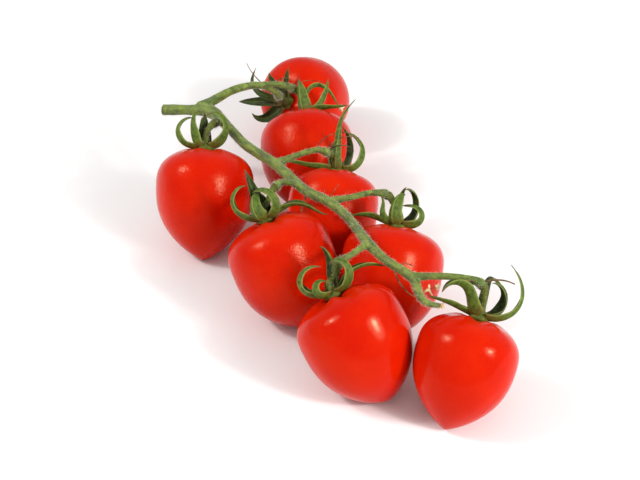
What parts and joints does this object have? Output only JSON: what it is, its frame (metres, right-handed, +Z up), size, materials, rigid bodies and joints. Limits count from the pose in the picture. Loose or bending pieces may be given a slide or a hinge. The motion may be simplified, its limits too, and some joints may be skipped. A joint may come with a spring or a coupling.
{
  "type": "tomato truss",
  "caption": "Bunch of small heart-shaped ripe tomatoes on one branched green stem with curled calyxes, lying on its side.",
  "frame": {"origin": "middle of the bunch's box, on the table it lies on", "axes": "+X along the main stem from its cut end to its tip, +Z up from the table, +Y level across the bunch"},
  "size_m": [0.244, 0.144, 0.0672],
  "materials": {
    "truss_stem": null,
    "calyx_1": null,
    "calyx_2": null,
    "calyx_3": null,
    "calyx_4": null,
    "calyx_5": null,
    "calyx_6": null,
    "calyx_7": null,
    "calyx_8": null,
    "tomato_1": null,
    "tomato_2": null,
    "tomato_3": null,
    "tomato_4": null,
    "tomato_5": null,
    "tomato_6": null,
    "tomato_7": null,
    "tomato_8": null
  },
  "bodies": {
    "root": {"truss_stem": "truss_stem", "calyx_1": "calyx_1", "calyx_2": "calyx_2", "calyx_3": "calyx_3", "calyx_4": "calyx_4", "calyx_5": "calyx_5", "calyx_6": "calyx_6", "calyx_7": "calyx_7", "calyx_8": "calyx_8", "tomato_1": "tomato_1", "tomato_2": "tomato_2", "tomato_3": "tomato_3", "tomato_4": "tomato_4", "tomato_5": "tomato_5", "tomato_6": "tomato_6", "tomato_7": "tomato_7", "tomato_8": "tomato_8"}
  },
  "joints": []
}
